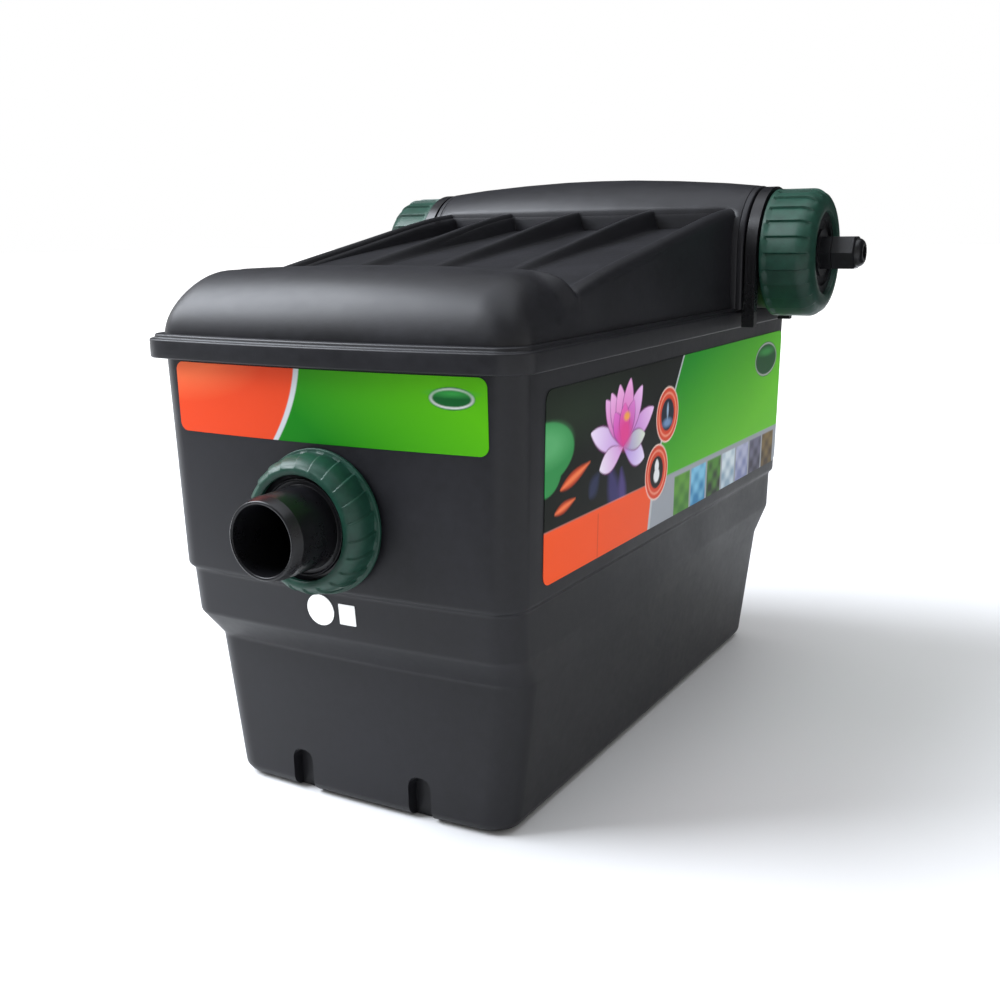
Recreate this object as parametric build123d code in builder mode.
from build123d import *
import os
from math import cos, sin, radians

# Flow-through pond filter box with an ultraviolet clarifier in its lid.
# Millimetres. Origin: centre of the tub's base. -Y is the outlet end, +X the lamp side, +Z up.

# ---- driving dimensions -------------------------------------------------------------------
rim_half_width = 120.0       # outside of the lid's skirt
rim_half_length = 221.0      # ends of the skirt, before the front's bow
rim_bow = 8.0                # how far the front end bulges in plan
rim_corner = 17.0
wall = 3.0
floor = 4.0

skirt_bottom = 250.7
skirt_top = 261.0
tub_height = 258.0           # top of the tub's flange
ledge_top = 263.5            # small step between the skirt and the dome of the lid

outlet_height = 170.5        # axis of the front outlet
outlet_face = -220.5         # flat boss round the outlet hole
outlet_hole = 30.3

uv_y = 123.6                 # axis of the clarifier tube, which lies along X
uv_z = 299.0
tube_radius = 37.5
tube_bore = 33.5
tube_half = 140.0
hood_end = 122.0             # the lid's hood stops here on each side
hood_radius = 44.5
hood_crown = 51.5
ring_start = 132.0           # screw rings cover the tube's necks from here
ring_end = 166.0
ring_radius = 42.3
running = 0.08               # radial clearance of screwed and turning fits
gap = 0.35                   # between pieces of different bodies

side_half = 114.0            # flat sides of the lid's dome
trough_ribs = (-55.0, 0.0, 55.0)
rib_width = 4.5

os.makedirs("parts", exist_ok=True)


def save(builder, name):
    """Label one finished piece and write its STEP file."""
    builder.part.label = name
    export_step(builder.part, f"parts/{name}.step")


def plan_section(height, half_width, front, back, bow, corner):
    """Horizontal section: straight sides and back, bowed front, rounded corners."""
    with BuildSketch(Plane.XY.offset(height)) as section:
        with BuildLine():
            Line((half_width, -front), (half_width, back))
            Line((half_width, back), (-half_width, back))
            Line((-half_width, back), (-half_width, -front))
            ThreePointArc((-half_width, -front), (0, -front - bow), (half_width, -front))
        make_face()
        fillet(section.vertices(), corner)
    return section.sketch


def rim_section(height, inset):
    """Section of the lid's rim, inset from the outside of the skirt."""
    return plan_section(height, rim_half_width - inset, rim_half_length - inset,
                        rim_half_length - inset, rim_bow, max(rim_corner - inset, 6.0))


def uv_plane(x, outward=1):
    """Plane across the clarifier's axis, facing one end of it."""
    return Plane(origin=(x, uv_y, uv_z), x_dir=(0, outward, 0), z_dir=(outward, 0, 0))


def outlet_plane(y, outward=-1):
    """Plane across the outlet's axis, facing forwards unless told otherwise."""
    return Plane(origin=(0, y, outlet_height), x_dir=(1, 0, 0), z_dir=(0, outward, 0))


def disc(plane, outer, length, inner=0.0, mode=Mode.ADD):
    """Round disc or ring, from its plane for a length."""
    with BuildSketch(plane) as ring:
        Circle(outer)
        if inner:
            Circle(inner, mode=Mode.SUBTRACT)
    extrude(ring.sketch, amount=length, mode=mode)


# ---- tub ----------------------------------------------------------------------------------
# One moulding: a plain upper box, a shallow step, a ledge and a narrower lower box.
class Level:
    """One height of the tub's outside: half width and the insets of its two ends."""

    def __init__(self, height, half_width, front_inset, back_inset, bow, corner=16.0):
        self.height = height
        self.half_width = half_width
        self.front = rim_half_length - front_inset
        self.back = rim_half_length - back_inset
        self.bow = bow
        self.corner = corner

    def section(self, inset=0.0, raised=0.0):
        """Section of the tub at this level, or of its water space when inset by the wall."""
        return plan_section(self.height + raised, self.half_width - inset, self.front - inset,
                            self.back - inset, self.bow, self.corner - inset / 2)


base_level = Level(0.0, 94.0, 27.0, 25.0, 2.9, 17.0)
ledge_low = Level(86.5, 104.5, 26.4, 26.0, 3.3, 17.0)
ledge_high = Level(104.0, 107.5, 12.5, 8.0, 4.0)
step_low = Level(130.0, 108.0, 10.5, 7.0, 4.6)
step_high = Level(132.5, 110.5, 8.4, 5.5, 5.2)
neck_level = Level(254.5, 113.5, 5.9, 4.0, 5.9)
levels = [base_level, ledge_low, ledge_high, step_low, step_high, neck_level]

base_round = 8.0
flute_width = 14.0
flute_height = 25.0
flute_depth = 5.0
flute_centres = (-40.0, 40.0)

with BuildPart() as tub:
    outside = []
    for angle in (0, 30, 60, 90):
        turn = radians(angle)
        outside.append(base_level.section(base_round * (1 - sin(turn)), base_round * (1 - cos(turn))))
    loft(outside + [level.section() for level in levels[1:]], ruled=True)
    # flange that the lid rests on
    flange = plan_section(neck_level.height, 116.3, rim_half_length - 3.7, rim_half_length - 3.7,
                          rim_bow, 14.0)
    extrude(flange, amount=tub_height - neck_level.height)
    # water space
    inside = [base_level.section(wall, floor)] + [level.section(wall) for level in levels[1:]]
    loft(inside, ruled=True, mode=Mode.SUBTRACT)
    extrude(inside[-1], amount=tub_height - neck_level.height, mode=Mode.SUBTRACT)
    # pads behind the four flutes in the bottom edges, then the flutes
    for x in flute_centres:
        for y in (-(base_level.front - 4.0), base_level.back - 6.0):
            with Locations((x, y, floor)):
                Box(flute_width + 8, 12, flute_height + 4, align=(Align.CENTER, Align.CENTER, Align.MIN))
    for x in flute_centres:
        for y, outward in ((-(base_level.front - flute_depth), -1), (base_level.back - flute_depth, 1)):
            with BuildSketch(Plane(origin=(x, y, 0), x_dir=(1, 0, 0), z_dir=(0, outward, 0))):
                with Locations((0, -outward * (flute_height - flute_width))):
                    SlotOverall(2 * flute_height, flute_width, rotation=90)
            extrude(amount=20, mode=Mode.SUBTRACT)
    # flat boss and hole for the outlet
    disc(outlet_plane(-214.8), 34.0, 5.7)
    disc(outlet_plane(-200.0), outlet_hole, 30.0, mode=Mode.SUBTRACT)
save(tub, "tub")

# ---- front outlet ---------------------------------------------------------------------------
spigot_radius = 30.0
spigot_end = -231.0
washer_end = -233.4
tail_flange_end = -236.4
tail_flange_radius = 29.6
tail_radius = 21.5           # a 40 mm hose pushes over this
nut_start = outlet_face - gap
nut_end = -239.5
outlet_bore = 18.0
tail_mouth = -268.0

with BuildPart() as outlet_seal:
    disc(outlet_plane(-214.8, 1), 36.0, 2.0, spigot_radius + 0.1)
save(outlet_seal, "outlet_seal")

with BuildPart() as outlet_bulkhead:
    disc(outlet_plane(-212.8, 1), 36.0, 4.0, 24.0)
    disc(outlet_plane(-212.8), spigot_radius, -spigot_end - 212.8, 24.0)
save(outlet_bulkhead, "outlet_bulkhead")

with BuildPart() as outlet_washer:
    disc(outlet_plane(spigot_end), tail_flange_radius, spigot_end - washer_end, 24.0)
save(outlet_washer, "outlet_washer")

with BuildPart() as outlet_hosetail:
    with BuildSketch(Plane(origin=(0, 0, outlet_height), x_dir=(1, 0, 0), z_dir=(0, 0, 1))):
        with BuildLine():
            Polyline((outlet_bore, washer_end), (tail_flange_radius, washer_end),
                     (tail_flange_radius, tail_flange_end), (tail_radius + 1.1, tail_flange_end),
                     (tail_radius, tail_flange_end - 2), (tail_radius, tail_mouth + 6),
                     (tail_radius - 2.2, tail_mouth), (outlet_bore, tail_mouth), (outlet_bore, washer_end))
        make_face()
    revolve(axis=Axis((0, 0, outlet_height), (0, 1, 0)))
save(outlet_hosetail, "outlet_hosetail")

with BuildPart() as outlet_nut:
    with BuildSketch(Plane(origin=(0, 0, outlet_height), x_dir=(1, 0, 0), z_dir=(0, 0, 1))):
        with BuildLine():
            Polyline((spigot_radius + running, nut_start), (38.5, nut_start), (38.5, nut_start - 2.2),
                     (37.0, nut_start - 2.8), (37.0, nut_start - 6.0))
            ThreePointArc((37.0, nut_start - 6.0), (35.3, nut_end + 4.6), (30.4, nut_end))
            Polyline((30.4, nut_end), (27.6, nut_end), (27.6, tail_flange_end - gap),
                     (spigot_radius + running, tail_flange_end - gap), (spigot_radius + running, nut_start))
        make_face()
    revolve(axis=Axis((0, 0, outlet_height), (0, 1, 0)))
    # grip ribs
    with BuildSketch(outlet_plane(nut_start - 3.2)):
        with PolarLocations(37.2, 22):
            Rectangle(1.8, 1.6)
    extrude(amount=7.0)
save(outlet_nut, "outlet_nut")

with BuildPart() as outlet_strainer:
    disc(outlet_plane(-208.8, 1), 35.0, 2.0, 24.0)
    disc(outlet_plane(-208.8, 1), 27.0, 34.0, 24.6)
    disc(outlet_plane(-174.8, 1), 27.0, 2.2)
    with BuildSketch(Plane.XZ.offset(205.0)):
        with Locations((0, outlet_height)):
            with PolarLocations(0, 6):
                Rectangle(70, 5)
    extrude(amount=-26.0, mode=Mode.SUBTRACT)
save(outlet_strainer, "outlet_strainer")

# ---- media inside the tub -------------------------------------------------------------------
grid_half_x = 88.0
grid_start = -176.0
grid_length = 290.0
grid_top = 26.0

with BuildPart() as media_grid:
    with BuildSketch(Plane.XY.offset(grid_top - 4)):
        with Locations((0, grid_start + grid_length / 2)):
            Rectangle(2 * grid_half_x, grid_length)
            with GridLocations(22, 24, 8, 12):
                RectangleRounded(16, 18, 3, mode=Mode.SUBTRACT)
    extrude(amount=4)
    with BuildSketch(Plane.XY.offset(floor)):
        with Locations((0, grid_start + grid_length / 2)):
            with GridLocations(132, 120, 2, 3):
                Circle(5)
    extrude(amount=grid_top - 4 - floor)
save(media_grid, "media_grid")

pad_half_x = 84.0
pad_height = 112.0


def foam_pad(name, start, thickness):
    """Filter foam standing across the box on the grid."""
    with BuildPart() as pad:
        with BuildSketch(Plane.XY.offset(grid_top)):
            with Locations((0, start + thickness / 2)):
                RectangleRounded(2 * pad_half_x, thickness, 6)
        extrude(amount=pad_height)
    save(pad, name)


foam_pad("foam_fine", -150.0, 52.0)
foam_pad("foam_medium", -97.0, 60.0)
foam_pad("foam_coarse", -36.0, 60.0)

baffle_y = 118.0
with BuildPart() as baffle:
    with BuildSketch(Plane(origin=(0, baffle_y, 0), x_dir=(1, 0, 0), z_dir=(0, -1, 0))):
        with BuildLine():
            Polyline((-89, floor), (89, floor), (100, 84), (103.5, 104), (106, 200), (-106, 200),
                     (-103.5, 104), (-100, 84), (-89, floor))
        make_face()
        with Locations((0, 26)):
            with GridLocations(24, 1, 6, 1):
                SlotOverall(28, 8, rotation=90, mode=Mode.SUBTRACT)
    extrude(amount=3.0)
save(baffle, "baffle")

# ---- lid ------------------------------------------------------------------------------------
hump_base = 262.0
hump_top = 300.0
hump_front = rim_half_length - 6.0
hump_back = -146.0
hump_roll = 40.0             # how far the front rolls back to the top
hump_tail = 16.0
hump_side = 10.0
roof_points = [(-150, 286.5), (-107, 296.5), (-57, 305.3), (-27, 310.8), (36, 321.8), (90, 328.6)]
floor_points = [(-150.5, 286.0), (-107, 293.0), (-27, 303.2), (36, 310.5), (86, 316.2)]
rear_knee = (168.0, 316.0)
rear_shoulder = (207.0, 281.0)
rear_foot = rim_half_length - 6.5
cavity_points = [(-160, 282.5), (-107, 290.0), (-27, 300.2), (36, 307.5), (78, 312.3)]
cavity_knee = (166.0, 312.3)
cavity_shoulder = (204.0, 279.0)
lid_underside = 259.5        # flat underside that the gasket is glued to
cradle_places = (-80.0, 80.0)
cradle_reach = 45.0
cradle_top = uv_z - tube_radius - 0.2
cradle_thick = 3.5
screw_core = 1.8


def hump_sections(inset):
    """Stack of sections whose ends follow quarter ellipses, for the roll over the front."""
    sections = []
    for angle in (0, 15, 30, 45, 58, 70, 80, 90):
        turned = 1 - cos(radians(angle))
        height = hump_base + (hump_top - hump_base) * sin(radians(angle)) - inset * angle / 90
        front = hump_front - inset - hump_roll * turned
        back = hump_back - hump_tail * turned - inset
        half = side_half + 0.5 - inset - hump_side * turned
        corner = min(14.0 - inset, 0.45 * (front + back))
        sections.append(plan_section(height, half, front, back, rim_bow - 1.5, corner))
    return sections


def roof_prism(half, top, knee, shoulder, foot, start, base, mode=Mode.ADD):
    """Prism across the lid under a roof line that climbs from the front hump to the hood."""
    with BuildSketch(Plane.YZ.offset(-half)) as roof:
        with BuildLine():
            Line((start, base), (start, top[0][1]))
            Line((start, top[0][1]), top[0])
            Spline(*top)
            Polyline(top[-1], (uv_y, top[-1][1]), knee, shoulder, (foot, base), (start, base))
        make_face()
    extrude(roof.sketch, amount=2 * half, mode=mode)


def hood_outline(radius, base):
    """End view of the hood: half round above, straight legs down to the rim."""
    with Locations((uv_y, uv_z)):
        Circle(radius)
    with Locations((uv_y, (uv_z + base) / 2)):
        Rectangle(2 * radius, uv_z - base)


with BuildPart() as lid:
    roof_prism(side_half, roof_points, rear_knee, rear_shoulder, rear_foot, -170.0, hump_base)
    side_edges = lid.edges().filter_by(lambda e: abs(abs(e.center().X) - side_half) < 0.1
                                       and e.center().Z > hump_base + 8 and e.center().Y > -160)
    fillet(side_edges, 6.0)
    dome_plan = plan_section(hump_base, side_half + 0.5, hump_front, rear_foot + 0.5, rim_bow - 1.5, 15.0)
    extrude(dome_plan, amount=100, mode=Mode.INTERSECT)
    loft(hump_sections(0.0), ruled=True)
    # barrel-shaped hood over the clarifier, and its end flanges
    with BuildSketch(Plane.XY.offset(uv_z)):
        with BuildLine():
            Line((-hood_end, uv_y), (-hood_end, uv_y + hood_radius))
            ThreePointArc((-hood_end, uv_y + hood_radius), (0, uv_y + hood_crown),
                          (hood_end, uv_y + hood_radius))
            Line((hood_end, uv_y + hood_radius), (hood_end, uv_y))
            Line((hood_end, uv_y), (-hood_end, uv_y))
        make_face()
    revolve(axis=Axis((0, uv_y, uv_z), (1, 0, 0)), revolution_arc=180)
    with BuildSketch(Plane.YZ.offset(-hood_end)):
        hood_outline(hood_radius, hump_base)
    extrude(amount=2 * hood_end)
    # rim: skirt over the tub's flange, and the step up to the dome
    extrude(rim_section(skirt_bottom, 0.0), amount=skirt_top - skirt_bottom)
    extrude(rim_section(skirt_top, 2.6), amount=ledge_top - skirt_top)
    # troughs between the ribs of the roof
    bounds_x = [-(side_half - 7.5), *trough_ribs, side_half - 7.5]
    for low, high in zip(bounds_x[:-1], bounds_x[1:]):
        left = low + (rib_width / 2 if low in trough_ribs else 0)
        right = high - (rib_width / 2 if high in trough_ribs else 0)
        with BuildSketch(Plane.YZ.offset(left)):
            with BuildLine():
                Spline(*floor_points)
                Polyline(floor_points[-1], (floor_points[-1][0], 345), (floor_points[0][0], 345),
                         floor_points[0])
            make_face()
        extrude(amount=right - left, mode=Mode.SUBTRACT)
    # inside: under the roof, under the hump, round the clarifier tube, and the rim's opening
    roof_prism(side_half - wall, cavity_points, cavity_knee, cavity_shoulder, rear_foot - wall,
               -172.0, hump_base - 1, mode=Mode.SUBTRACT)
    loft(hump_sections(wall), ruled=True, mode=Mode.SUBTRACT)
    with BuildSketch(Plane.YZ.offset(-hood_end + wall)) as tube_space:
        hood_outline(tube_radius + 0.8, hump_base - 1)
    extrude(tube_space.sketch, amount=2 * (hood_end - wall), mode=Mode.SUBTRACT)
    disc(uv_plane(-hood_end), tube_radius + 0.3, 2 * hood_end, mode=Mode.SUBTRACT)
    extrude(plan_section(lid_underside, side_half - wall, hump_front - wall, rear_foot - wall,
                         rim_bow - 1.5, 11.0), amount=hump_base - lid_underside, mode=Mode.SUBTRACT)
    extrude(rim_section(skirt_bottom, wall), amount=lid_underside - skirt_bottom, mode=Mode.SUBTRACT)
    # bosses for the cradle screws
    for x in cradle_places:
        for y, boss_height in ((uv_y - cradle_reach, 51.5), (uv_y + cradle_reach, 47.5)):
            disc(Plane(origin=(x, y, cradle_top), z_dir=(0, 0, 1)), 5.0, boss_height)
            disc(Plane(origin=(x, y, cradle_top), z_dir=(0, 0, 1)), screw_core, 10.0, mode=Mode.SUBTRACT)
save(lid, "lid")

with BuildPart() as lid_gasket:
    extrude(rim_section(tub_height + gap, 4.4), amount=lid_underside - tub_height - gap)
    extrude(rim_section(tub_height + gap, 8.4), amount=10, mode=Mode.SUBTRACT)
save(lid_gasket, "lid_gasket")

# ---- clarifier tube and its cradles ---------------------------------------------------------
drop_x = 48.0                # water falls from here into the tub
drop_radius = 13.0

with BuildPart() as uv_tube:
    disc(uv_plane(-tube_half), tube_radius, 2 * tube_half)
    disc(uv_plane(-tube_half), tube_bore, 2 * tube_half, mode=Mode.SUBTRACT)
    disc(Plane(origin=(drop_x, uv_y, uv_z), z_dir=(0, 0, -1)), drop_radius, 60, mode=Mode.SUBTRACT)
save(uv_tube, "uv_tube")


def cradle(name, x):
    """Bar under the clarifier tube, screwed up to the lid at both ends."""
    with BuildPart() as bar:
        with BuildSketch(Plane.XY.offset(cradle_top - cradle_thick)):
            with Locations((x, uv_y)):
                SlotOverall(2 * cradle_reach + 12, 12, rotation=90)
                with Locations((0, -cradle_reach), (0, cradle_reach)):
                    Circle(screw_core + 0.4, mode=Mode.SUBTRACT)
        extrude(amount=cradle_thick)
    save(bar, name)


cradle("cradle_left", cradle_places[0])
cradle("cradle_right", cradle_places[1])

with BuildPart() as cradle_screws:
    for x in cradle_places:
        for y in (uv_y - cradle_reach, uv_y + cradle_reach):
            disc(Plane(origin=(x, y, cradle_top - cradle_thick), z_dir=(0, 0, -1)), 3.8, 2.4)
            disc(Plane(origin=(x, y, cradle_top - cradle_thick), z_dir=(0, 0, 1)), screw_core, 11.0)
            with BuildSketch(Plane(origin=(x, y, cradle_top - cradle_thick - 2.4), z_dir=(0, 0, 1))):
                Rectangle(4.4, 1.0)
                Rectangle(1.0, 4.4)
            extrude(amount=1.4, mode=Mode.SUBTRACT)
save(cradle_screws, "cradle_screws")

# ---- forks that slide down over the tube's necks ---------------------------------------------
fork_start = 123.6
fork_thick = 7.2
fork_outer = 44.0
fork_foot = 251.5
foot_reach = 4.0
foot_height = 10.0


def neck_fork(name, side):
    """Fork over one neck of the clarifier tube; its legs reach down beside the rim."""
    start = fork_start if side > 0 else -fork_start
    with BuildPart() as fork:
        with BuildSketch(uv_plane(start, side)):
            Circle(fork_outer)
            with Locations((0, -uv_z / 2)):
                Rectangle(2 * fork_outer, uv_z)
            with Locations((0, fork_foot / 2 - uv_z)):
                Rectangle(4 * fork_outer, fork_foot, mode=Mode.SUBTRACT)
            Circle(tube_radius + gap, mode=Mode.SUBTRACT)
            with Locations((0, -uv_z / 2)):
                Rectangle(2 * (tube_radius + gap), uv_z, mode=Mode.SUBTRACT)
        extrude(amount=fork_thick)
        # feet that reach in towards the skirt
        for leg in (-1, 1):
            with Locations((side * (hood_end + gap + foot_reach / 2), uv_y + leg * (fork_outer - 3.0),
                            fork_foot + foot_height / 2)):
                Box(foot_reach, 6.0, foot_height)
        # two ribs down the outside of each leg
        for leg in (-1, 1):
            for x in (1.4, fork_thick - 1.4):
                with Locations((start + side * x, uv_y + leg * fork_outer, (uv_z + fork_foot + 12) / 2)):
                    Box(1.2, 1.6, uv_z - fork_foot - 12)
    save(fork, name)


neck_fork("fork_right", 1)
neck_fork("fork_left", -1)

# ---- screw rings, lamp head and inlet tail ----------------------------------------------------
flange_start = tube_half + 0.5
flange_thick = 5.0
ring_shoulder = flange_start + flange_thick + gap
ring_mouth = 27.6
ring_flutes = 24


def screw_ring(name, side):
    """Domed screw ring with moulded grip flutes round its rim."""
    with BuildPart() as ring:
        with BuildSketch(Plane(origin=(0, uv_y, uv_z), x_dir=(1, 0, 0), z_dir=(0, 0, 1))):
            with BuildLine():
                Polyline((ring_start, tube_radius + running), (ring_start, ring_radius),
                         (ring_end - 11, ring_radius))
                ThreePointArc((ring_end - 11, ring_radius), (ring_end - 3.2, ring_radius - 3.2),
                              (ring_end, ring_radius - 11))
                Polyline((ring_end, ring_radius - 11), (ring_end, ring_mouth),
                         (ring_shoulder, ring_mouth), (ring_shoulder, tube_radius + running),
                         (ring_start, tube_radius + running))
            make_face()
        revolve(axis=Axis((0, uv_y, uv_z), (1, 0, 0)))
        with BuildSketch(uv_plane(ring_start + 3)):
            with PolarLocations(ring_radius, ring_flutes):
                Rectangle(1.6, 1.3)
        extrude(amount=60, mode=Mode.SUBTRACT)
        if side < 0:
            mirror(about=Plane.YZ, mode=Mode.REPLACE)
    save(ring, name)


screw_ring("lamp_ring", 1)
screw_ring("inlet_ring", -1)

head_face = ring_end - 3.0
head_seat = tube_bore - 0.4
sleeve_radius = 19.0
sleeve_wall = 1.8
sleeve_end = -112.0
sleeve_socket = 120.0

with BuildPart() as lamp_head:
    disc(uv_plane(sleeve_socket), head_seat, flange_start - sleeve_socket)
    disc(uv_plane(flange_start), tube_radius - 0.6, flange_thick)
    disc(uv_plane(flange_start + flange_thick), ring_mouth - gap, head_face - flange_start - flange_thick)
    disc(uv_plane(130.0), head_seat + 1, 3.4, head_seat - 2.4, mode=Mode.SUBTRACT)
    disc(uv_plane(sleeve_socket), sleeve_radius + 0.1, 26.0, mode=Mode.SUBTRACT)
    disc(uv_plane(head_face - 2.0), 22.0, 5.0, 15.5, mode=Mode.SUBTRACT)
    disc(uv_plane(head_face), 8.05, -30.0, mode=Mode.SUBTRACT)
save(lamp_head, "lamp_head")

with BuildPart() as head_seal:
    disc(uv_plane(130.3), tube_bore - 0.05, 2.8, head_seat - 2.35)
save(head_seal, "head_seal")

with BuildPart() as quartz_sleeve:
    disc(uv_plane(sleeve_end + sleeve_radius), sleeve_radius, sleeve_socket + 18 - sleeve_end - sleeve_radius)
    with Locations((sleeve_end + sleeve_radius, uv_y, uv_z)):
        Sphere(sleeve_radius)
    disc(uv_plane(sleeve_end + sleeve_radius), sleeve_radius - sleeve_wall, 200 - sleeve_end,
         mode=Mode.SUBTRACT)
    with Locations((sleeve_end + sleeve_radius, uv_y, uv_z)):
        Sphere(sleeve_radius - sleeve_wall, mode=Mode.SUBTRACT)
save(quartz_sleeve, "quartz_sleeve")

with BuildPart() as sleeve_seal:
    disc(uv_plane(sleeve_socket - 3.0), sleeve_radius + 5.0, 3.0, sleeve_radius + 0.05)
save(sleeve_seal, "sleeve_seal")

with BuildPart() as lamp_holder:
    disc(uv_plane(98.0), 16.6, 40.0, 13.6)
    disc(uv_plane(124.0), 14.0, 6.0)
    for y in (-6.0, 6.0):
        disc(Plane(origin=(123.0, uv_y + y, uv_z), z_dir=(1, 0, 0)), 1.4, 8.0, mode=Mode.SUBTRACT)
save(lamp_holder, "lamp_holder")

lamp_tube_radius = 6.0
lamp_tube_gap = 7.2
with BuildPart() as lamp_base:
    with BuildSketch(uv_plane(100.0)):
        RectangleRounded(26.0, 13.0, 5.0)
    extrude(amount=23.6)
save(lamp_base, "lamp_base")

with BuildPart() as uv_lamp:
    for y in (-lamp_tube_gap, lamp_tube_gap):
        with Locations(Plane(origin=(-84.0, uv_y + y, uv_z), z_dir=(1, 0, 0))):
            Cylinder(lamp_tube_radius, 184.0, align=(Align.CENTER, Align.CENTER, Align.MIN))
    with Locations(Plane(origin=(-78.0, uv_y, uv_z), z_dir=(0, 1, 0))):
        Cylinder(4.0, 2 * lamp_tube_gap)
save(uv_lamp, "uv_lamp")

with BuildPart() as sleeve_spider:
    disc(uv_plane(-96.0), sleeve_radius + 3.0, 5.0, sleeve_radius + gap)
    with BuildSketch(uv_plane(-96.0)):
        with PolarLocations((sleeve_radius + 2.0 + tube_bore) / 2, 3, start_angle=30):
            Rectangle(tube_bore - sleeve_radius - 2.0, 4.0)
    extrude(amount=5.0)
    disc(uv_plane(-97.0), tube_bore + 4, 7.0, tube_bore - 0.1, mode=Mode.SUBTRACT)
save(sleeve_spider, "sleeve_spider")

# cable gland
gland_flats = 21.0
gland_face = 171.0
gland_neck = 8.9
nut_dome = 186.0
gland_tip = 190.5
cable_radius = 3.8

with BuildPart() as gland_body:
    disc(uv_plane(head_face - 10), 8.0, 10.0)
    with BuildSketch(uv_plane(head_face)):
        RegularPolygon(gland_flats / 2, 6, major_radius=False)
    extrude(amount=gland_face - gap - head_face)
    disc(uv_plane(gland_face - gap), gland_neck, 13.5)
    disc(uv_plane(head_face - 10), 6.0, 40.0, mode=Mode.SUBTRACT)
save(gland_body, "gland_body")

with BuildPart() as gland_seal:
    disc(uv_plane(gland_face + 1), 5.95, 11.5, cable_radius)
save(gland_seal, "gland_seal")

with BuildPart() as gland_nut:
    with BuildSketch(uv_plane(gland_face)):
        RegularPolygon(gland_flats / 2, 6, major_radius=False)
    extrude(amount=nut_dome - gland_face)
    chamfer(gland_nut.edges().group_by(Axis.X)[-1], 1.0)
    with BuildSketch(Plane(origin=(0, uv_y, uv_z), x_dir=(1, 0, 0), z_dir=(0, 0, 1))):
        with BuildLine():
            Polyline((nut_dome, 0), (nut_dome, 9.4), (nut_dome + 1.5, 9.2))
            ThreePointArc((nut_dome + 1.5, 9.2), (gland_tip - 1.0, 8.0), (gland_tip, 6.4))
            Polyline((gland_tip, 6.4), (gland_tip, 0), (nut_dome, 0))
        make_face()
    revolve(axis=Axis((0, uv_y, uv_z), (1, 0, 0)))
    disc(uv_plane(gland_face), gland_neck + running, 14.2, mode=Mode.SUBTRACT)
    disc(uv_plane(gland_face), cable_radius + 0.6, 30.0, mode=Mode.SUBTRACT)
save(gland_nut, "gland_nut")

# inlet side
inlet_bore = 16.05
inlet_lip = 171.0

with BuildPart() as inlet_tail:
    disc(uv_plane(-flange_start, -1), tube_radius - 0.6, flange_thick)
    disc(uv_plane(-flange_start - flange_thick, -1), ring_mouth - gap, head_face - flange_start - flange_thick)
    disc(uv_plane(-head_face, -1), 21.5, inlet_lip - head_face)
    disc(uv_plane(-tube_half, -1), inlet_bore, 60.0, mode=Mode.SUBTRACT)
save(inlet_tail, "inlet_tail")

with BuildPart() as inlet_washer:
    disc(uv_plane(-tube_half, -1), tube_radius - 1.0, flange_start - tube_half, tube_bore)
save(inlet_washer, "inlet_washer")

# ---- printed labels -----------------------------------------------------------------------
label_thick = 0.3
label_lift = 0.02


def label(name, low, high, plane, draw):
    """Thin printed label that follows the wall between two levels of the tub."""
    with BuildPart() as film:
        loft([level.section(-label_lift - label_thick) for level in (low, high)], ruled=True)
        loft([level.section(-label_lift) for level in (low, high)], ruled=True, mode=Mode.SUBTRACT)
        with BuildSketch(plane) as shape:
            draw()
        extrude(shape.sketch, amount=60.0, mode=Mode.INTERSECT)
    save(film, name)


front_plane = Plane(origin=(0, -190, 0), x_dir=(1, 0, 0), z_dir=(0, -1, 0))
side_plane = Plane(origin=(80, 0, 0), x_dir=(0, 1, 0), z_dir=(1, 0, 0))


def rounded_box(centre, width, height, corner):
    with Locations(centre):
        RectangleRounded(width, height, corner)


label("front_label", step_high, neck_level, front_plane,
      lambda: rounded_box((0.5, 230.0), 196.0, 38.0, 5.0))
label("side_label", step_high, neck_level, side_plane,
      lambda: rounded_box((9.0, 190.0), 388.0, 100.0, 6.0))


def round_sticker():
    with Locations((-8.0, 119.5)):
        Circle(8.8)


label("round_sticker", ledge_high, step_low, front_plane, round_sticker)
label("square_sticker", ledge_high, step_low, front_plane,
      lambda: rounded_box((9.5, 119.0), 10.5, 11.7, 0.6))
